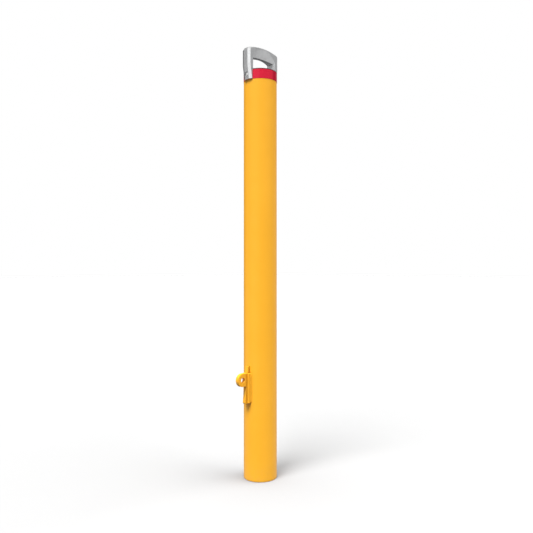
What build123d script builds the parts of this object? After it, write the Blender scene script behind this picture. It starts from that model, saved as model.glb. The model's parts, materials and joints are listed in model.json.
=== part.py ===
from build123d import *

import math
import os

# Removable steel safety bollard: a round post with a cast lifting handle over its top and, low on
# one side, a padlockable drop bolt that locks it into a ground sleeve.
#
# Millimetres. The origin is the centre of the foot, on the post's axis. +Z is up, and the lock is on
# the -Y side. The handle's two legs stand at -Y (front) and +Y (rear).
# "Reach" is the distance out from the post's axis, towards -Y.

# ---- post -------------------------------------------------------------------------------------
POST_R = 45.0  # outside radius of the tube
POST_WALL = 3.2
POST_TOP = 1097.8  # cut end of the tube, under the cap's flange
RIM = 1100.0  # top of the cap's flange
GROUND_LINE = 200.0  # depth that goes into the ground sleeve
GROUND_MARK_WIDTH = 1.2  # fine V scribed round the tube at the ground line
GROUND_MARK_DEPTH = 0.15
EDGE_BREAK = 0.6  # small chamfer on cut ends

BORE_R = POST_R - POST_WALL
WELD_GAP = 0.03  # parts that are welded or stuck on stand this far off the tube
FIT_GAP = 0.2  # between a plug's lip and the tube
OVERCUT = 2.0  # how far a cutting shape runs past what it cuts
NEAR = 0.1  # two places closer than this are the same

# ---- plugs ------------------------------------------------------------------------------------
PLUG_WALL = 2.5
PLUG_FLOOR = 4.0
PLUG_SKIRT = 24.0  # how far a plug reaches into the tube
LIP_HEIGHT = 2.0
LIP_PITCH = 6.0
LIP_COUNT = 3
LIP_DEPTH = 1.2
CAP_FLANGE_R = 44.8
NOTCH_GAP = 1.5  # between the cap's skirt and a rivet nut
NOTCH_DEPTH = 20.0

# ---- reflective band --------------------------------------------------------------------------
BAND_WIDTH = 25.0
BAND_THICK = 0.3

# ---- handle -----------------------------------------------------------------------------------
HANDLE_HALF = 15.0  # half the width of a leg
FLAT_HALF = 7.0  # half the width of the outer flat between the two bevels
INNER_FLAT_HALF = 4.8  # the same on a leg's inner face
BEVEL_DEPTH = 3.9  # how far the bevels fall back at the leg's sides
LEG_REACH = 54.7  # outer face of a leg
LEG_END = 1073.2  # lower end of a leg
LEG_END_REACH = 49.5  # the outer face leans in to this at the lower end
LEAN_START = 1112.0
CREST = 1165.2  # top of the grip at its middle
CROWN_R = 165.0  # of the grip's arched top
CORNER_R = 8.5
OPENING_HALF = 37.6  # half the length of the finger opening
OPENING_TOP_MID = 1135.2  # the grip's underside is a shallow arch
OPENING_TOP_END = 1130.0
GRIP_LOW_HALF = 5.0  # half the width of the grip at its underside, in the middle
GRIP_SHOULDER = 1160.0  # height where the waisted side meets the full width, in the middle
WAIST_END = 1139.5  # the same at the legs
GRIP_ROUND = 1.5
LEG_GAP = 0.45  # between a leg's hollow face and the tube, for the band
BELOW_LEGS = LEG_END - OVERCUT

# ---- handle fixings (M5) ----------------------------------------------------------------------
SCREW_Z = 1086.5
SCREW_R = 2.5
SCREW_LENGTH = 16.0
THREAD_GAP = 0.02
HEAD_R = 4.75
HEAD_HEIGHT = 2.75
HEAD_DOME_R = 2.0
SOCKET_FLATS = 3.0
SOCKET_DEPTH = 1.7
SEAT_REACH = 48.2  # bottom of the counterbore in the leg
COUNTERBORE_R = 5.8
SCREW_HOLE_R = 2.75
WASHER_R = 5.0
WASHER_THICK = 0.8
NUT_BODY_R = 3.5
NUT_FLANGE_R = 5.0
NUT_FLANGE_THICK = 0.8
NUT_BULGE_R = 4.75
NUT_BULGE_LENGTH = 3.0
NUT_INNER_REACH = 33.0
NUT_POCKET_GAP = 0.3

# ---- lock -------------------------------------------------------------------------------------
CHEEK_IN = 5.0  # inner face of a cheek, from the middle of the lock
CHEEK_OUT = 10.0
CHEEK_REACH = 54.0
CHEEK_ROOT = 40.0  # a cheek's bar is cut back to the tube from here
CHEEK_BOTTOM = 209.0
CHEEK_TOP = 289.0
CHEEK_ROUND = 1.2
WELD_LEG = 2.6
WELD_TOE = 0.3  # how thick a weld still is at its far edge
WELD_SHORT = 0.8  # the welds stop this far from the cheeks' ends

BOLT_HALF = 4.8  # half the plate's thickness
BOLT_BACK = 45.3  # back edge of the plate
BOLT_TOP = 307.0
BOLT_BOTTOM = 207.5
TAIL_REACH = 50.5  # front edge at the top; it leans out towards the toe
TOE_REACH = 61.4
TOE_R = 4.0
EYE_REACH = 68.5
EYE_Z = 272.0
EYE_R = 17.5
EYE_HOLE_R = 7.0
PLATE_BREAK = 0.7
BOLT_TRAVEL = 16.0
STOP_GAP = 0.3  # left at each end of a slot, past the travel

PIN_R = 2.5
PIN_REACH = 49.7
PIN_HEIGHTS = {"lower": 217.5, "upper": 266.5}  # at rest each pin is at the foot of its slot
PIN_PRESS_GAP = 0.02
PIN_SLIDE_GAP = 0.06

SPRING_POCKET = (240.5, 260.5)  # heights of the pocket in the plate's back edge
SPRING_POCKET_DEPTH = 2.0
SPRING_THICK = 0.4
SPRING_HALF = 4.0
SPRING_END_GAP = 0.6
SPRING_CLEAR = 0.12  # between the bow and the tube
SPRING_SEAT_GAP = 0.05  # between the leaf's ends and the plate

FRONT = -1  # sign of Y for the front leg
REAR = 1


def ring(outer, inner, bottom, top):
    """A tube about the post's axis."""
    height = top - bottom
    middle = Pos(0, 0, (bottom + top) / 2)
    return middle * (Cylinder(outer, height) - Cylinder(inner, height))


def rod(radius, near, far, side, height):
    """A cylinder across the post, along Y on one side, from reach near to reach far."""
    place = Pos(0, side * (near + far) / 2, height) * Rot(90, 0, 0)
    return place * Cylinder(radius, far - near)


def side_plate(outline, half):
    """A plate of a YZ outline, to both sides of the plane x = 0."""
    return extrude(Plane.YZ * outline, half, both=True)


# ---- post -------------------------------------------------------------------------------------
def post_tube():
    tube = ring(POST_R, BORE_R, 0, POST_TOP)
    tube = chamfer(tube.edges().filter_by(GeomType.CIRCLE).group_by(Axis.Z)[0], EDGE_BREAK)
    tube -= ground_mark()
    for side in (FRONT, REAR):
        tube -= rod(NUT_BODY_R + THREAD_GAP, BORE_R - OVERCUT, POST_R + OVERCUT, side, SCREW_Z)
    return tube


def ground_mark():
    """The V that is cut round the tube. It runs on past the surface, so that the cut is clean."""
    half_width = GROUND_MARK_WIDTH / 2 * (1 + OVERCUT / GROUND_MARK_DEPTH)
    vee = Polyline(
        (POST_R - GROUND_MARK_DEPTH, GROUND_LINE),
        (POST_R + OVERCUT, GROUND_LINE - half_width),
        (POST_R + OVERCUT, GROUND_LINE + half_width),
        close=True,
    )
    return revolve(Plane.XZ * make_face(vee), Axis.Z)


def plug_body(end, inward):
    """A cup that fits in the tube's end, with gripping lips. inward is +1 when it reaches up."""
    core_r = BORE_R - FIT_GAP - LIP_DEPTH
    profile = [(0, 0), (core_r, 0)]
    for n in range(LIP_COUNT):
        start = LIP_PITCH * (n + 0.5)
        profile.append((core_r, start))
        profile.append((core_r + LIP_DEPTH, start))
        profile.append((core_r, start + LIP_HEIGHT))
    profile += [
        (core_r, PLUG_SKIRT),
        (core_r - PLUG_WALL, PLUG_SKIRT),
        (core_r - PLUG_WALL, PLUG_FLOOR),
        (0, PLUG_FLOOR),
    ]
    points = [(x, end + inward * z) for x, z in profile]
    return revolve(Plane.XZ * make_face(Polyline(*points, close=True)), Axis.Z)


def foot_plug():
    foot_disc = Pos(0, 0, PLUG_FLOOR / 2) * Cylinder(BORE_R - FIT_GAP, PLUG_FLOOR)
    return plug_body(0, 1) + foot_disc


def top_cap():
    thick = RIM - POST_TOP
    flange = Pos(0, 0, POST_TOP + thick / 2) * Cylinder(CAP_FLANGE_R, thick)
    cap = plug_body(POST_TOP, -1) + flange
    cap = chamfer(cap.edges().filter_by(GeomType.CIRCLE).group_by(Axis.Z)[-1], EDGE_BREAK / 2)
    # the skirt is notched to clear the rivet nuts
    notch_half = NUT_BULGE_R + NOTCH_GAP
    notch = Box(2 * notch_half, NOTCH_DEPTH, PLUG_SKIRT)
    for side in (FRONT, REAR):
        cap -= Pos(0, side * BORE_R, SCREW_Z + notch_half - PLUG_SKIRT / 2) * notch
    return cap


def reflective_band():
    inner = POST_R + WELD_GAP
    band = ring(inner + BAND_THICK, inner, POST_TOP - BAND_WIDTH, POST_TOP)
    for side in (FRONT, REAR):
        band -= rod(
            NUT_FLANGE_R + NUT_POCKET_GAP, POST_R - OVERCUT, POST_R + OVERCUT, side, SCREW_Z
        )
    return band


# ---- handle -----------------------------------------------------------------------------------
def handle_outline():
    """The handle's outer outline, seen along X."""
    crown_end = CREST - CROWN_R + math.sqrt(CROWN_R**2 - LEG_REACH**2)
    left = Polyline(
        (LEG_END_REACH, LEG_END),
        (-LEG_END_REACH, LEG_END),
        (-LEG_REACH, LEAN_START),
        (-LEG_REACH, crown_end),
    )
    crown = ThreePointArc((-LEG_REACH, crown_end), (0, CREST), (LEG_REACH, crown_end))
    right = Polyline((LEG_REACH, crown_end), (LEG_REACH, LEAN_START), (LEG_END_REACH, LEG_END))
    outline = make_face(left + crown + right)
    return fillet(outline.vertices().group_by(Axis.Y)[-1], CORNER_R)


def finger_opening():
    """The space between the legs, from below their ends to the grip's underside."""
    sides = Polyline(
        (OPENING_HALF, OPENING_TOP_END),
        (OPENING_HALF, BELOW_LEGS),
        (-OPENING_HALF, BELOW_LEGS),
        (-OPENING_HALF, OPENING_TOP_END),
    )
    top = ThreePointArc(
        (-OPENING_HALF, OPENING_TOP_END), (0, OPENING_TOP_MID), (OPENING_HALF, OPENING_TOP_END)
    )
    return make_face(sides + top)


def between_legs():
    """The space between the legs above the rim. Their inner faces fall back in bevels to the sides."""
    wide = HANDLE_HALF + OVERCUT
    fall = BEVEL_DEPTH / (HANDLE_HALF - INNER_FLAT_HALF)
    flared = OPENING_HALF + fall * (wide - INNER_FLAT_HALF)
    quarter = make_face(
        Polyline(
            (0, 0),
            (0, OPENING_HALF),
            (INNER_FLAT_HALF, OPENING_HALF),
            (wide, flared),
            (wide, 0),
            close=True,
        )
    )
    half = quarter + mirror(quarter, Plane.XZ)
    return Pos(0, 0, RIM) * extrude(half + mirror(half, Plane.YZ), CREST - RIM)


def waist_cut(side):
    """What waists one side of the grip: a cone, deepest in the middle and at the underside."""
    slope = (HANDLE_HALF - GRIP_LOW_HALF) / (GRIP_SHOULDER - OPENING_TOP_MID)
    end_half = GRIP_LOW_HALF + slope * (WAIST_END - OPENING_TOP_MID)
    bulge = HANDLE_HALF - end_half
    end_r = (OPENING_HALF**2 + bulge**2) / (2 * bulge)
    centre_x = end_half + end_r
    height = CREST - RIM
    cone = Cone(end_r + slope * (WAIST_END - RIM), end_r - slope * (CREST - WAIST_END), height)
    return Pos(side * centre_x, 0, (CREST + RIM) / 2) * cone & between_legs()


def carry_handle():
    blank = side_plate(handle_outline(), HANDLE_HALF)
    for end in (0, -1):
        face = blank.faces().sort_by(Axis.X)[end]
        rims = [e for e in face.edges() if e.center().Z > LEG_END + NEAR]
        blank = chamfer(rims, BEVEL_DEPTH, HANDLE_HALF - FLAT_HALF, reference=face)
    handle = blank - side_plate(finger_opening(), HANDLE_HALF + OVERCUT)
    for side in (1, -1):
        handle -= waist_cut(side)
    handle -= Pos(0, 0, (BELOW_LEGS + RIM) / 2) * Cylinder(POST_R + LEG_GAP, RIM - BELOW_LEGS)
    handle = soften_grip(handle)
    inside = POST_R - OVERCUT
    outside = LEG_REACH + OVERCUT
    pocket_end = POST_R + NUT_FLANGE_THICK + NUT_POCKET_GAP
    for side in (FRONT, REAR):
        handle -= rod(SCREW_HOLE_R, inside, outside, side, SCREW_Z)
        handle -= rod(COUNTERBORE_R, SEAT_REACH, outside, side, SCREW_Z)
        handle -= rod(NUT_FLANGE_R + NUT_POCKET_GAP, inside, pocket_end, side, SCREW_Z)
    return handle


def soften_grip(handle):
    """Round the grip's lower edges, where fingers go."""
    lower = [
        e
        for e in handle.edges()
        if OPENING_TOP_END < e.center().Z < OPENING_TOP_MID + NEAR
        and e.bounding_box().size.Y > OPENING_HALF
    ]
    return fillet(lower, GRIP_ROUND)


def handle_screw(side):
    head_seat = SEAT_REACH + WASHER_THICK
    head_top = head_seat + HEAD_HEIGHT
    screw = rod(SCREW_R, head_seat - SCREW_LENGTH, head_seat + NEAR, side, SCREW_Z)
    head = rod(HEAD_R, head_seat, head_top, side, SCREW_Z)
    crown = head.edges().filter_by(GeomType.CIRCLE).sort_by(Axis.Y)[0 if side == FRONT else -1]
    head = fillet(crown, HEAD_DOME_R)
    socket = extrude(RegularPolygon(SOCKET_FLATS / 2, 6, major_radius=False), SOCKET_DEPTH)
    facing = Rot(90, 0, 0) if side == REAR else Rot(-90, 0, 0)
    return screw + head - Pos(0, side * head_top, SCREW_Z) * facing * socket


def screw_washer(side):
    seat_end = SEAT_REACH + WASHER_THICK
    solid = rod(WASHER_R, SEAT_REACH, seat_end, side, SCREW_Z)
    hole = rod(
        SCREW_R + THREAD_GAP, SEAT_REACH - OVERCUT, seat_end + OVERCUT, side, SCREW_Z
    )
    return solid - hole


def rivet_nut(side):
    """A set blind rivet nut: flange outside the wall, folded bulge inside it, thread beyond."""
    wall_inside = math.sqrt(BORE_R**2 - NUT_BULGE_R**2) - THREAD_GAP
    nut = rod(NUT_BODY_R, NUT_INNER_REACH, POST_R + NEAR, side, SCREW_Z)
    nut += rod(NUT_FLANGE_R, POST_R, POST_R + NUT_FLANGE_THICK, side, SCREW_Z)
    nut += rod(NUT_BULGE_R, wall_inside - NUT_BULGE_LENGTH, wall_inside, side, SCREW_Z)
    thread = rod(
        SCREW_R + THREAD_GAP, NUT_INNER_REACH - OVERCUT, POST_R + OVERCUT, side, SCREW_Z
    )
    return nut - thread


# ---- lock -------------------------------------------------------------------------------------
def guide_cheek(hand):
    """One flat bar on edge, welded to the tube. hand is +1 for the right one, seen from the front."""
    width = CHEEK_OUT - CHEEK_IN
    height = CHEEK_TOP - CHEEK_BOTTOM
    place = Pos(
        hand * (CHEEK_IN + width / 2),
        -(CHEEK_REACH + CHEEK_ROOT) / 2,
        (CHEEK_TOP + CHEEK_BOTTOM) / 2,
    )
    bar = place * Box(width, CHEEK_REACH - CHEEK_ROOT, height)
    outer = bar.faces().sort_by(Axis.X)[-1 if hand > 0 else 0]
    front = bar.faces().sort_by(Axis.Y)[0]
    visible = [e for e in outer.edges() if e.center().Y < -CHEEK_ROOT - NEAR]
    visible += [e for e in front.edges() if abs(e.center().Z - CHEEK_BOTTOM) < NEAR]
    visible += [e for e in front.edges() if abs(e.center().Z - CHEEK_TOP) < NEAR]
    bar = fillet(visible, CHEEK_ROUND)
    bar -= tube_space()
    for z in PIN_HEIGHTS.values():
        bar -= cross_pin_hole(z, PIN_R + PIN_PRESS_GAP)
    return bar


def tube_space():
    """The space the tube fills, which whatever is welded to it keeps clear of."""
    return Pos(0, 0, POST_TOP / 2) * Cylinder(POST_R + WELD_GAP, POST_TOP)


def cross_pin_hole(z, radius):
    return Pos(0, -PIN_REACH, z) * Rot(0, 90, 0) * Cylinder(radius, 4 * CHEEK_OUT)


def cheek_weld(hand):
    """A fillet weld in the corner between a cheek's outer side and the tube."""
    edge = CHEEK_OUT + WELD_GAP
    corner = math.sqrt(POST_R**2 - CHEEK_OUT**2)
    far = CHEEK_OUT + WELD_LEG
    far_reach = math.sqrt(POST_R**2 - far**2)
    inside = far_reach - OVERCUT
    wedge = make_face(
        Polyline(
            (hand * edge, -(corner + WELD_LEG)),
            (hand * edge, -inside),
            (hand * far, -inside),
            (hand * far, -(far_reach + WELD_TOE)),
            close=True,
        )
    )
    length = CHEEK_TOP - CHEEK_BOTTOM - 2 * WELD_SHORT
    return Pos(0, 0, CHEEK_BOTTOM + WELD_SHORT) * extrude(wedge, length) - tube_space()


def bolt_outline():
    """The drop bolt's plate, as reach and height: a bar that widens to its toe, with the eye in front."""
    bar = make_face(
        Polyline(
            (BOLT_BACK, BOLT_TOP),
            (TAIL_REACH, BOLT_TOP),
            (TOE_REACH, BOLT_BOTTOM),
            (BOLT_BACK, BOLT_BOTTOM),
            close=True,
        )
    )
    toe = bar.vertices().sort_by_distance((TOE_REACH, BOLT_BOTTOM))[0]
    bar = fillet(toe, TOE_R)
    lobe = Pos(EYE_REACH, EYE_Z) * Circle(EYE_R)
    root = PIN_REACH
    neck = Pos((EYE_REACH + root) / 2, EYE_Z) * Rectangle(EYE_REACH - root, 2 * EYE_R)
    return bar + lobe + neck


def pin_slot(z):
    """The slot that rides on one cross pin: the pin is at its foot when the bolt is up."""
    width = 2 * (PIN_R + PIN_SLIDE_GAP)
    length = BOLT_TRAVEL + 2 * STOP_GAP + width
    middle = z + BOLT_TRAVEL / 2
    return Pos(PIN_REACH, middle) * SlotOverall(length, width, rotation=90)


def drop_bolt():
    outline = bolt_outline()
    for z in PIN_HEIGHTS.values():
        outline -= pin_slot(z)
    low, high = SPRING_POCKET
    depth = SPRING_POCKET_DEPTH
    outline -= Pos(BOLT_BACK, (low + high) / 2) * Rectangle(2 * depth, high - low)
    plate = mirror(side_plate(outline, BOLT_HALF), Plane.XZ)
    front = [
        e
        for face in (plate.faces().sort_by(Axis.X)[0], plate.faces().sort_by(Axis.X)[-1])
        for e in face.outer_wire().edges()
        if -e.center().Y > BOLT_BACK + depth + NEAR
    ]
    plate = fillet(front, PLATE_BREAK)
    hole = Pos(0, -EYE_REACH, EYE_Z) * Rot(0, 90, 0) * Cylinder(EYE_HOLE_R, 4 * BOLT_HALF)
    return plate - hole


def friction_spring():
    """A bowed leaf in the pocket behind the plate: it rubs on the tube and holds the bolt up."""
    low = SPRING_POCKET[0] + SPRING_END_GAP
    high = SPRING_POCKET[1] - SPRING_END_GAP
    middle = (low + high) / 2
    end_reach = BOLT_BACK + SPRING_POCKET_DEPTH - SPRING_SEAT_GAP
    bow_reach = POST_R + SPRING_CLEAR
    near = ThreePointArc(
        (end_reach - SPRING_THICK, low), (bow_reach, middle), (end_reach - SPRING_THICK, high)
    )
    far = ThreePointArc(
        (end_reach, high), (bow_reach + SPRING_THICK, middle), (end_reach, low)
    )
    upper = Line((end_reach - SPRING_THICK, high), (end_reach, high))
    lower = Line((end_reach, low), (end_reach - SPRING_THICK, low))
    leaf = side_plate(make_face(near + upper + far + lower), SPRING_HALF)
    return mirror(leaf, Plane.XZ)


def guide_pin(z):
    return Pos(0, -PIN_REACH, z) * Rot(0, 90, 0) * Cylinder(PIN_R, 2 * CHEEK_OUT)


# ---- assembly ---------------------------------------------------------------------------------
def build_parts():
    parts = {
        "post_tube": post_tube(),
        "foot_plug": foot_plug(),
        "top_cap": top_cap(),
        "reflective_band": reflective_band(),
        "carry_handle": carry_handle(),
        "drop_bolt": drop_bolt(),
        "friction_spring": friction_spring(),
    }
    for name, side in (("front", FRONT), ("rear", REAR)):
        parts[f"handle_screw_{name}"] = handle_screw(side)
        parts[f"screw_washer_{name}"] = screw_washer(side)
        parts[f"rivet_nut_{name}"] = rivet_nut(side)
    for name, hand in (("left", -1), ("right", 1)):
        parts[f"guide_cheek_{name}"] = guide_cheek(hand)
        parts[f"cheek_weld_{name}"] = cheek_weld(hand)
    for name, z in PIN_HEIGHTS.items():
        parts[f"guide_pin_{name}"] = guide_pin(z)
    return parts


os.makedirs("parts", exist_ok=True)
for node, shape in build_parts().items():
    export_step(shape, f"parts/{node}.step")
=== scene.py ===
"""Looks of the removable steel safety bollard: materials, weld beads, tape lap, studio and camera."""

import json
import math

import bmesh
import bpy
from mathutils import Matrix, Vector


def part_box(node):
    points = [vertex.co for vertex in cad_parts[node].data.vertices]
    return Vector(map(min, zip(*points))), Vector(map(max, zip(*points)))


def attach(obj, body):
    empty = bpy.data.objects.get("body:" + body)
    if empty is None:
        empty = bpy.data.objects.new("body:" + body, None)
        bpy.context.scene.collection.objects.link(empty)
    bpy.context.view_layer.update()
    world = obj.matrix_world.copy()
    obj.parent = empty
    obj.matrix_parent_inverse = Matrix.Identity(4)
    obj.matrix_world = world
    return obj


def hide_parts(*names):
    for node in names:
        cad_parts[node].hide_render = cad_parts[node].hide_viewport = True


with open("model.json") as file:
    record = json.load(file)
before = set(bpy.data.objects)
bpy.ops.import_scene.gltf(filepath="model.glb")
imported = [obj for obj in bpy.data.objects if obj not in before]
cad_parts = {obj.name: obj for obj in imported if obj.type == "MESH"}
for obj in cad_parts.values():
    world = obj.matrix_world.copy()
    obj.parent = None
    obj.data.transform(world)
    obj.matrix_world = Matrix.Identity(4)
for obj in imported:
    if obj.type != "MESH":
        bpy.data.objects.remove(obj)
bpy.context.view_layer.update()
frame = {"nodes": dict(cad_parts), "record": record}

MM = 0.001


# ---- node helpers -----------------------------------------------------------------------------
ROUNDING_SAMPLES = 4  # rays that feel for a nearby edge
SHADING_SAMPLES = 6  # rays that feel for a nearby wall
FLAT_LIKENESS = 0.995  # dot product of the true and the rounded normal on a flat
SHARP_LIKENESS = 0.85  # the same on a sharp edge


class Surface:
    """A procedural material: one Principled shader, and short calls for the nodes that feed it."""

    def __init__(self, name, **constants):
        self.material = bpy.data.materials.new(name)
        self.material.use_nodes = True
        self.tree = self.material.node_tree
        self.shader = self.tree.nodes["Principled BSDF"]
        for socket, value in constants.items():
            self.shader.inputs[socket.replace("_", " ")].default_value = value
        self.place = self.node("ShaderNodeTexCoord").outputs["Object"]

    def node(self, kind, **settings):
        made = self.tree.nodes.new(kind)
        for name, value in settings.items():
            setattr(made, name, value)
        return made

    def link(self, source, target):
        self.tree.links.new(source, target)

    def feed(self, source, socket):
        self.link(source, self.shader.inputs[socket])

    def stretched(self, x, y, z):
        """Object coordinates multiplied along each axis."""
        mapping = self.node("ShaderNodeMapping")
        mapping.inputs["Scale"].default_value = (x, y, z)
        self.link(self.place, mapping.inputs["Vector"])
        return mapping.outputs["Vector"]

    def noise(self, size, detail, where=None):
        """Noise from 0 to 1 whose blotches are about size metres."""
        made = self.node("ShaderNodeTexNoise")
        made.inputs["Scale"].default_value = 1.0 / size
        made.inputs["Detail"].default_value = detail
        self.link(where or self.place, made.inputs["Vector"])
        return made.outputs["Fac"]

    def to_cell_edge(self, size):
        """Distance to a cell's edge, as a share of size, which is the cells' width in metres."""
        made = self.node("ShaderNodeTexVoronoi", feature="DISTANCE_TO_EDGE")
        made.inputs["Scale"].default_value = 1.0 / size
        self.link(self.place, made.inputs["Vector"])
        return made.outputs["Distance"]

    def spread(self, value, low, high, to_low=0.0, to_high=1.0):
        """Maps value from low..high to to_low..to_high, and holds it at the ends."""
        made = self.node("ShaderNodeMapRange", clamp=True)
        for socket, number in zip(
            ("From Min", "From Max", "To Min", "To Max"), (low, high, to_low, to_high)
        ):
            made.inputs[socket].default_value = number
        self.link(value, made.inputs["Value"])
        return made.outputs["Result"]

    def weaken(self, value, most):
        """Scales a value that runs from 0 to 1, so that it runs from 0 to most."""
        return self.spread(value, 0.0, 1.0, 0.0, most)

    def multiply(self, first, second):
        made = self.node("ShaderNodeMath", operation="MULTIPLY")
        self.link(first, made.inputs[0])
        self.link(second, made.inputs[1])
        return made.outputs["Value"]

    def blend(self, share, first, second):
        """first where share is 0, second where it is 1. Each is a colour or another node's output."""
        made = self.node("ShaderNodeMix", data_type="RGBA")
        self.link(share, made.inputs["Factor"])
        for socket, colour in (("A", first), ("B", second)):
            target = next(i for i in made.inputs if i.name == socket and i.type == "RGBA")
            if isinstance(colour, tuple):
                target.default_value = (*colour, 1.0)
            else:
                self.link(colour, target)
        return next(o for o in made.outputs if o.type == "RGBA")

    def height(self):
        """Height above the foot, in metres."""
        split = self.node("ShaderNodeSeparateXYZ")
        self.link(self.place, split.inputs["Vector"])
        return split.outputs["Z"]

    def rounded_normal(self, radius):
        """The normal as if each edge had this radius."""
        made = self.node("ShaderNodeBevel", samples=ROUNDING_SAMPLES)
        made.inputs["Radius"].default_value = radius
        return made.outputs["Normal"]

    def edge(self, radius):
        """1 on a sharp edge and 0 on a flat, over about radius metres."""
        true_normal = self.node("ShaderNodeNewGeometry").outputs["Normal"]
        likeness = self.node("ShaderNodeVectorMath", operation="DOT_PRODUCT")
        self.link(self.rounded_normal(radius), likeness.inputs[0])
        self.link(true_normal, likeness.inputs[1])
        return self.spread(likeness.outputs["Value"], FLAT_LIKENESS, SHARP_LIKENESS)

    def hollow(self, reach, bare=0.9, deep=0.3):
        """1 in a tight corner and 0 in the open, looking reach metres out."""
        shade = self.node("ShaderNodeAmbientOcclusion", samples=SHADING_SAMPLES)
        shade.inputs["Distance"].default_value = reach
        return self.spread(shade.outputs["AO"], bare, deep)

    def relief(self, *layers, soften=0.0):
        """Stacks bumps, each (height, depth in metres, strength), on edges softened by a radius."""
        normal = self.rounded_normal(soften) if soften else None
        for height, depth, strength in layers:
            bump = self.node("ShaderNodeBump")
            bump.inputs["Distance"].default_value = depth
            bump.inputs["Strength"].default_value = strength
            self.link(height, bump.inputs["Height"])
            if normal:
                self.link(normal, bump.inputs["Normal"])
            normal = bump.outputs["Normal"]
        self.feed(normal, "Normal")


# ---- materials --------------------------------------------------------------------------------
def yellow_powder_coat():
    """Satin polyester powder coat: orange peel, slightly thinner and pale on edges with a painted
    highlight there, painted shade in corners, dusty at the foot.
    """
    deep = (0.855, 0.398, 0.016)
    pale = (0.885, 0.418, 0.020)
    # the colour of the paler edges: a coat thinner there, and a painted edge highlight
    thin_coat_and_highlight = (0.95, 0.50, 0.07)
    # the colour of the painted shade in corners
    painted_shade_orange = (0.22, 0.068, 0.003)
    dusty = (0.55, 0.33, 0.10)
    coat = Surface("yellow_powder_coat", Specular_IOR_Level=0.5)
    drift = coat.spread(coat.noise(90 * MM, 3.0), 0.3, 0.7)
    colour = coat.blend(drift, deep, pale)
    # Paler edges: partly a coat thinner there, partly a painted edge highlight
    colour = coat.blend(coat.weaken(coat.edge(0.9 * MM), 0.35), colour, thin_coat_and_highlight)
    # Painted shade: darker in tight corners, under the cheeks and the eye, and between parts, where
    # light is blocked
    corners = coat.spread(coat.hollow(9 * MM), 0.15, 0.85, 0.0, 0.7)
    colour = coat.blend(corners, colour, painted_shade_orange)
    near_floor = coat.spread(coat.height(), 50 * MM, 0.0)
    patches = coat.spread(coat.noise(12 * MM, 5.0), 0.35, 0.8)
    dust = coat.weaken(coat.multiply(near_floor, patches), 0.25)
    coat.feed(coat.blend(dust, colour, dusty), "Base Color")
    coat.feed(coat.spread(coat.noise(30 * MM, 4.0), 0.3, 0.7, 0.36, 0.46), "Roughness")
    coat.relief(
        (coat.noise(1.6 * MM, 2.0), 0.05 * MM, 0.35),
        (coat.noise(0.35 * MM, 1.0), 0.01 * MM, 0.25),
        soften=0.35 * MM,
    )
    return coat.material


def red_reflective(name, dull, bright, wall_colour):
    """Reflective tape: a clear glossy face over small sealed cells."""
    tape = Surface(name, Coat_Weight=0.3, Coat_Roughness=0.03, Specular_IOR_Level=0.1)
    wall = tape.spread(tape.to_cell_edge(2.6 * MM), 0.02, 0.09, 1.0, 0.0)
    # Painted glints: brighter specks stand in for the tape's sparkle, and the same specks are a little
    # rougher
    painted_glints = tape.spread(tape.noise(0.5 * MM, 2.0), 0.3, 0.7)
    colour = tape.blend(painted_glints, dull, bright)
    colour = tape.blend(tape.weaken(wall, 0.22), colour, wall_colour)
    tape.feed(colour, "Base Color")
    tape.feed(tape.spread(painted_glints, 0.0, 1.0, 0.24, 0.34), "Roughness")
    tape.relief((tape.noise(6 * MM, 2.0), 0.04 * MM, 0.15), (wall, 0.02 * MM, 0.15))
    return tape.material


def cast_aluminium():
    """A linished casting: fine blasted grain, soft waves from the mould, brighter edges from rubbing and
    a painted highlight, painted shade in corners.
    """
    dull = (0.60, 0.605, 0.61)
    pale = (0.68, 0.685, 0.69)
    # the colour of the brighter edges: rubbed wear, and a painted edge highlight
    rubbed_and_highlit = (0.84, 0.845, 0.85)
    # the colour of the painted shade in corners
    painted_shade_grey = (0.10, 0.10, 0.105)
    cast = Surface("cast_aluminium", Metallic=1.0)
    wave = cast.noise(11 * MM, 3.0)
    colour = cast.blend(cast.spread(wave, 0.3, 0.7), dull, pale)
    # Brighter edges: rubbed wear, and a painted edge highlight as well
    colour = cast.blend(cast.weaken(cast.edge(0.8 * MM), 0.5), colour, rubbed_and_highlit)
    # Painted shade: darker in tight corners and recesses, such as the screw's counterbore and the leg's
    # underside by the post
    colour = cast.blend(cast.weaken(cast.hollow(4 * MM), 0.6), colour, painted_shade_grey)
    cast.feed(colour, "Base Color")
    cast.feed(cast.spread(cast.noise(3 * MM, 4.0), 0.3, 0.7, 0.40, 0.50), "Roughness")
    cast.relief(
        (wave, 0.10 * MM, 0.06),
        (cast.noise(0.7 * MM, 3.0), 0.03 * MM, 0.4),
        soften=0.5 * MM,
    )
    return cast.material


def bright_steel(name, pale, dark, rough, spots):
    """Machined or plated steel: fine streaks along Y, and blotches of size spots."""
    steel = Surface(name, Metallic=1.0)
    blotch = steel.spread(steel.noise(spots, 4.0), 0.35, 0.65)
    steel.feed(steel.blend(blotch, pale, dark), "Base Color")
    grain = steel.noise(0.8 * MM, 3.0)
    steel.feed(steel.spread(grain, 0.3, 0.7, rough, rough + 0.12), "Roughness")
    streaks = steel.noise(0.5 * MM, 2.0, steel.stretched(1.0, 0.12, 1.0))
    steel.relief((streaks, 0.012 * MM, 0.35), soften=0.12 * MM)
    return steel.material


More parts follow.
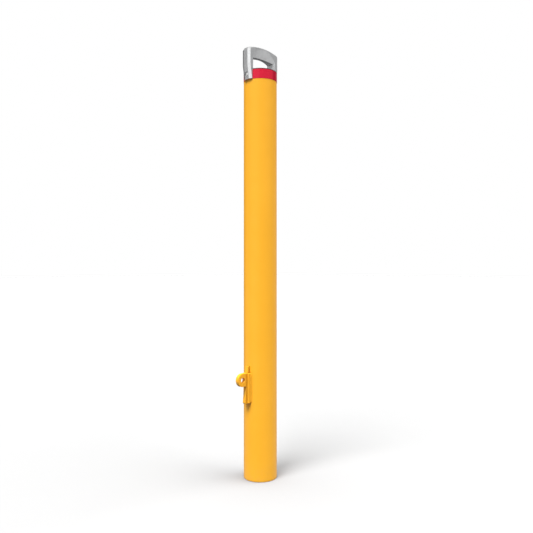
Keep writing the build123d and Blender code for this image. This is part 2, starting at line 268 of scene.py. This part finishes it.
def black_plastic():
    """Moulded polyethylene: spark-eroded grain, and a few pale scuffs."""
    plain = (0.010, 0.010, 0.011)
    scuffed = (0.03, 0.03, 0.03)
    plastic = Surface("black_plastic", Specular_IOR_Level=0.15)
    scuff = plastic.spread(plastic.noise(5 * MM, 6.0), 0.6, 0.75)
    plastic.feed(plastic.blend(scuff, plain, scuffed), "Base Color")
    plastic.feed(plastic.spread(scuff, 0.0, 1.0, 0.42, 0.6), "Roughness")
    plastic.relief((plastic.noise(0.4 * MM, 3.0), 0.03 * MM, 0.5), soften=0.2 * MM)
    return plastic.material


# red tape where it is dull, where a glint is painted on it, and over the walls of its cells
ONE_LAYER = ((0.57, 0.006, 0.030), (0.63, 0.010, 0.040), (0.78, 0.05, 0.08))
TWO_LAYERS = ((0.43, 0.002, 0.022), (0.49, 0.003, 0.030), (0.56, 0.010, 0.045))

finishes = {
    "yellow_powder_coat": yellow_powder_coat(),
    "red_reflective": red_reflective("red_reflective", *ONE_LAYER),
    "cast_aluminium": cast_aluminium(),
    "black_plastic": black_plastic(),
    "stainless_steel": bright_steel(
        "stainless_steel", (0.92, 0.92, 0.91), (0.82, 0.82, 0.81), rough=0.22, spots=2 * MM
    ),
    "zinc_steel": bright_steel(
        "zinc_steel", (0.66, 0.66, 0.63), (0.56, 0.55, 0.50), rough=0.26, spots=1.5 * MM
    ),
    "spring_steel": bright_steel(
        "spring_steel", (0.34, 0.33, 0.33), (0.20, 0.19, 0.22), rough=0.28, spots=4 * MM
    ),
}

for part in frame["record"]["subparts"]:
    node = frame["nodes"][part["node"]]
    node.data.materials.clear()
    node.data.materials.append(finishes[part["material_slot"]])


# ---- mesh pieces ------------------------------------------------------------------------------
def mesh_piece(name, points, faces, slot, body, finish=None):
    """A smooth-shaded mesh piece that rides on a CAD body. Its finish is the slot's own if not given."""
    mesh = bpy.data.meshes.new(name)
    mesh.from_pydata(points, [], faces)
    shell = bmesh.new()
    shell.from_mesh(mesh)
    bmesh.ops.recalc_face_normals(shell, faces=shell.faces)
    shell.to_mesh(mesh)
    shell.free()
    mesh.polygons.foreach_set("use_smooth", [True] * len(mesh.polygons))
    mesh.materials.append(finish or finishes[slot])
    piece = bpy.data.objects.new(name, mesh)
    bpy.context.scene.collection.objects.link(piece)
    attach(piece, body)
    return piece


def closed_strip(rows):
    """Points and faces of a skin over rings of equal length, with a flat cap at each end."""
    points = [point for row in rows for point in row]
    count = len(rows[0])
    faces = []
    for low in range(0, len(points) - count, count):
        high = low + count
        for corner in range(count):
            after = (corner + 1) % count
            faces.append((low + corner, low + after, high + after, high + corner))
    faces.append(tuple(range(count)))
    faces.append(tuple(range(len(points) - count, len(points))))
    return points, faces


# ---- weld beads -------------------------------------------------------------------------------
BEAD_STEPS = 170
BEAD_SIDES = 14
BEAD_FILL = 0.94  # how much of the CAD weld's width and depth the bead takes
BEAD_BULGE = 0.06  # how far the bead's middle stands out, as a share
BEAD_FLATNESS = 1.5  # 1 is a quarter round, 2 is a flat fillet
BEAD_BLUNTNESS = 14  # 2 rounds the whole length like an ellipse, and more keeps it to the ends
BEAD_INSET = 0.6 * MM  # from the CAD weld's back to where the bead meets the tube
BEAD_BURIED = 0.5 * MM  # how far its hidden corner goes back from there
BEAD_RIPPLES = 38  # the puddle marks of one run
RIPPLE_DEPTH = 0.04  # as a share of the bead's width
RIPPLE_SKEW = 0.9  # the marks' crescents lag at the bead's sides


def weld_bead(node, hand):
    """A rippled fillet bead in the corner between a cheek and the tube, in the CAD weld's own box."""
    low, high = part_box(node)
    cheek_face = low.x if hand > 0 else high.x
    width = high.x - low.x
    root_y = high.y - BEAD_INSET
    depth = root_y - low.y
    rows = []
    for step in range(BEAD_STEPS + 1):
        along = step / BEAD_STEPS
        z = low.z + (high.z - low.z) * along
        taper = math.sqrt(max(0.0, 1 - abs(2 * along - 1) ** BEAD_BLUNTNESS))
        ring = []
        for side in range(BEAD_SIDES):
            share = side / (BEAD_SIDES - 1)
            middle = math.sin(math.pi * share)
            wave = math.sin(2 * math.pi * BEAD_RIPPLES * along + RIPPLE_SKEW * middle)
            full = BEAD_FILL - RIPPLE_DEPTH * (0.5 - 0.5 * wave) * middle
            size = full * taper * (1 + BEAD_BULGE * middle)
            angle = 0.5 * math.pi * share
            out = width * size * math.sin(angle) ** BEAD_FLATNESS
            rise = depth * size * math.cos(angle) ** BEAD_FLATNESS
            ring.append((cheek_face + hand * min(out, width), max(root_y - rise, low.y), z))
        ring.append((cheek_face, root_y + BEAD_BURIED, z))
        rows.append(ring)
    points, faces = closed_strip(rows)
    name = f"weld_bead_{'right' if hand > 0 else 'left'}"
    piece = mesh_piece(name, points, faces, "yellow_powder_coat", "post")
    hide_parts(node)


weld_bead("cheek_weld_left", -1)
weld_bead("cheek_weld_right", 1)


# ---- tape lap ---------------------------------------------------------------------------------
LAP_START = math.radians(92.5)  # from the lock, towards the right
LAP_END = math.radians(146)
LAP_STEPS = 60
LAP_THICK = 0.25 * MM
LAP_GAP = 0.02 * MM  # between the two layers
LAP_INSET = 0.15 * MM  # the upper layer was laid this much short of the lower one's edges
LAP_ROUND = 0.08 * MM  # of its cut edges
LAP_ROUND_SEGMENTS = 2


def tape_lap():
    """The end of the reflective tape, lapped over its start. Two layers look a deeper red than one."""
    low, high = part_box("reflective_band")
    inner = (high.x - low.x) / 2 + LAP_GAP
    outer = inner + LAP_THICK
    bottom = low.z + LAP_INSET
    top = high.z - LAP_INSET
    section = ((inner, bottom), (outer, bottom), (outer, top), (inner, top))
    rows = []
    for step in range(LAP_STEPS + 1):
        angle = LAP_START + (LAP_END - LAP_START) * step / LAP_STEPS
        rows.append([(r * math.sin(angle), -r * math.cos(angle), z) for r, z in section])
    points, faces = closed_strip(rows)
    double_tape = red_reflective("double_tape", *TWO_LAYERS)
    piece = mesh_piece("tape_lap", points, faces, "red_reflective", "post", double_tape)
    edges = piece.modifiers.new("edges", "BEVEL")
    edges.width = LAP_ROUND
    edges.segments = LAP_ROUND_SEGMENTS
    piece.modifiers.new("shading", "WEIGHTED_NORMAL")


tape_lap()


# ---- camera -----------------------------------------------------------------------------------
VIEW_AZIMUTH = 45  # degrees from the front towards the right
CAMERA_DISTANCE = 1.6155
CAMERA_SHIFT = 0.01694  # towards its own right
CAMERA_HEIGHT = 0.5729
LENS = 40.0  # in mm, like the film
FILM_WIDTH = 36.0


def towards(azimuth, elevation):
    """The direction to a place in the studio. Azimuth is from the front towards the right."""
    turn = math.radians(azimuth)
    tilt = math.radians(elevation)
    return Vector(
        (math.sin(turn) * math.cos(tilt), -math.cos(turn) * math.cos(tilt), math.sin(tilt))
    )


def camera():
    """Level, and about half way up the post."""
    lens = bpy.data.cameras.new("camera")
    lens.lens = LENS
    lens.sensor_width = FILM_WIDTH
    made = bpy.data.objects.new("camera", lens)
    back = towards(VIEW_AZIMUTH, 0) * CAMERA_DISTANCE
    right = towards(VIEW_AZIMUTH + 90, 0) * CAMERA_SHIFT
    made.location = back + right + Vector((0, 0, CAMERA_HEIGHT))
    made.rotation_euler = (math.radians(90), 0, math.radians(VIEW_AZIMUTH))
    bpy.context.scene.collection.objects.link(made)
    bpy.context.scene.camera = made


# ---- floor ------------------------------------------------------------------------------------
FLOOR_HALF = 30.0
FLOOR_DROP = 0.2 * MM  # keeps it clear of the foot's face
FLOOR_DARK = (0.334, 0.334, 0.335)
FLOOR_PALE = (0.340, 0.340, 0.341)
# the colour of the painted shade around the foot
FLOOR_FOOT_SHADE = (0.250, 0.256, 0.268)
FOOT_SHADE_REACH = 250 * MM


def floor():
    """A wide pale floor with a painted shade around the foot. It takes shadows but throws no light back
    up at the post.
    """
    half = FLOOR_HALF
    mesh = bpy.data.meshes.new("floor")
    corners = [(-half, -half, 0), (half, -half, 0), (half, half, 0), (-half, half, 0)]
    mesh.from_pydata(corners, [], [(0, 1, 2, 3)])
    white = Surface("floor_white", Roughness=1.0, Specular_IOR_Level=0.0)
    tone = white.spread(white.noise(400 * MM, 2.0), 0.3, 0.7)
    colour = white.blend(tone, FLOOR_DARK, FLOOR_PALE)
    # Painted shade: the floor darkens around the foot, as far as the post hides the sky from it
    painted_foot_shade = white.hollow(FOOT_SHADE_REACH, bare=1.0, deep=0.4)
    white.feed(white.blend(painted_foot_shade, colour, FLOOR_FOOT_SHADE), "Base Color")
    mesh.materials.append(white.material)
    made = bpy.data.objects.new("floor", mesh)
    made.location.z = -FLOOR_DROP
    made.visible_diffuse = False
    made.visible_glossy = False
    bpy.context.scene.collection.objects.link(made)


# ---- light ------------------------------------------------------------------------------------
SUBJECT = Vector((0, 0, 0.55))  # the middle of the post

# brightness of the studio by the sine of the elevation, as surfaces and as reflections see it
LIT_SKY = ((-1.0, 0.34), (-0.05, 0.24), (0.34, 0.34), (0.62, 0.95), (1.0, 1.5))
SEEN_SKY = ((-1.0, 0.45), (-0.55, 0.76), (-0.15, 0.80), (0.30, 0.52), (0.62, 0.9), (1.0, 1.3))
SKY_TOP = 1.6  # the ramps hold shares of this, because their colours end at 1
CARDS = (  # azimuth, elevation and half angle in degrees, and brightness, where 1 is the sky's own
    (165, 32, 20, 0.05),
    (-105, 20, 36, 0.10),
    (-45, 20, 24, 0.70),
    (8, 18, 30, 2.45),
    (225, -22, 32, 0.30),
)
CARD_BLUR = 0.01  # half the width of a card's soft rim, as a difference of cosines


def studio_light(name, azimuth, elevation, width, strength):
    """A far, even light that spans width degrees. It does not show in reflections."""
    light = bpy.data.lights.new(name, "SUN")
    light.angle = math.radians(width)
    light.energy = strength
    made = bpy.data.objects.new(name, light)
    made.location = SUBJECT + towards(azimuth, elevation)
    made.rotation_euler = towards(azimuth, elevation).to_track_quat("Z", "Y").to_euler()
    made.visible_glossy = False
    bpy.context.scene.collection.objects.link(made)


def world_node(kind, inputs, **settings):
    """Adds a node to the world. Each input is a constant or another node's output."""
    tree = bpy.context.scene.world.node_tree
    made = tree.nodes.new(kind)
    for name, value in settings.items():
        setattr(made, name, value)
    for socket, value in inputs.items():
        if isinstance(value, bpy.types.NodeSocket):
            tree.links.new(value, made.inputs[socket])
        else:
            made.inputs[socket].default_value = value
    return made


def sky(rise, levels):
    """A grey sky with these levels. rise is 0 straight down and 1 straight up."""
    ramp = world_node("ShaderNodeValToRGB", {"Fac": rise})
    stops = ramp.color_ramp.elements
    while len(stops) < len(levels):
        stops.new(0.5)
    for stop, (sine, level) in zip(stops, levels):
        stop.position = (sine + 1) / 2
        stop.color = (level / SKY_TOP,) * 3 + (1.0,)
    return ramp.outputs["Color"]


def card_strength(direction):
    """SKY_TOP, times the brightness of a card where the direction meets one."""
    strength = world_node("ShaderNodeValue", {}).outputs["Value"]
    strength.default_value = SKY_TOP
    for azimuth, elevation, half_angle, brightness in CARDS:
        sides = {0: direction, 1: towards(azimuth, elevation)}
        nearness = world_node("ShaderNodeVectorMath", sides, operation="DOT_PRODUCT")
        rim = math.cos(math.radians(half_angle))
        inside = {
            "Value": nearness.outputs["Value"],
            "From Min": rim - CARD_BLUR,
            "From Max": rim + CARD_BLUR,
            "To Min": 1.0,
            "To Max": brightness,
        }
        share = world_node("ShaderNodeMapRange", inside).outputs["Result"]
        product = world_node("ShaderNodeMath", {0: strength, 1: share}, operation="MULTIPLY")
        strength = product.outputs["Value"]
    return strength


def surroundings():
    """White to the camera, a soft sky to surfaces, and a sky with cards in it to reflections."""
    world = bpy.data.worlds.new("studio")
    bpy.context.scene.world = world
    world.use_nodes = True
    world.node_tree.nodes.clear()
    direction = world_node("ShaderNodeTexCoord", {}).outputs["Generated"]
    sine = world_node("ShaderNodeSeparateXYZ", {"Vector": direction}).outputs["Z"]
    rise = world_node("ShaderNodeMapRange", {"Value": sine, "From Min": -1.0}).outputs["Result"]
    soft_light = {"Color": sky(rise, LIT_SKY), "Strength": SKY_TOP}
    lit = world_node("ShaderNodeBackground", soft_light).outputs[0]
    mirrored = {"Color": sky(rise, SEEN_SKY), "Strength": card_strength(direction)}
    seen = world_node("ShaderNodeBackground", mirrored).outputs[0]
    white = world_node("ShaderNodeBackground", {"Color": (1, 1, 1, 1)}).outputs[0]
    rays = world_node("ShaderNodeLightPath", {}).outputs
    studio = world_node("ShaderNodeMixShader", {0: rays["Is Glossy Ray"], 1: lit, 2: seen})
    ends = {0: rays["Is Camera Ray"], 1: studio.outputs[0], 2: white}
    mix = world_node("ShaderNodeMixShader", ends)
    world_node("ShaderNodeOutputWorld", {"Surface": mix.outputs[0]})


camera()
floor()
surroundings()
studio_light("key", azimuth=12, elevation=61, width=26, strength=4.9)
studio_light("fill", azimuth=130, elevation=54, width=46, strength=2.6)
bpy.context.scene.view_settings.view_transform = "Standard"

bpy.context.view_layer.update()
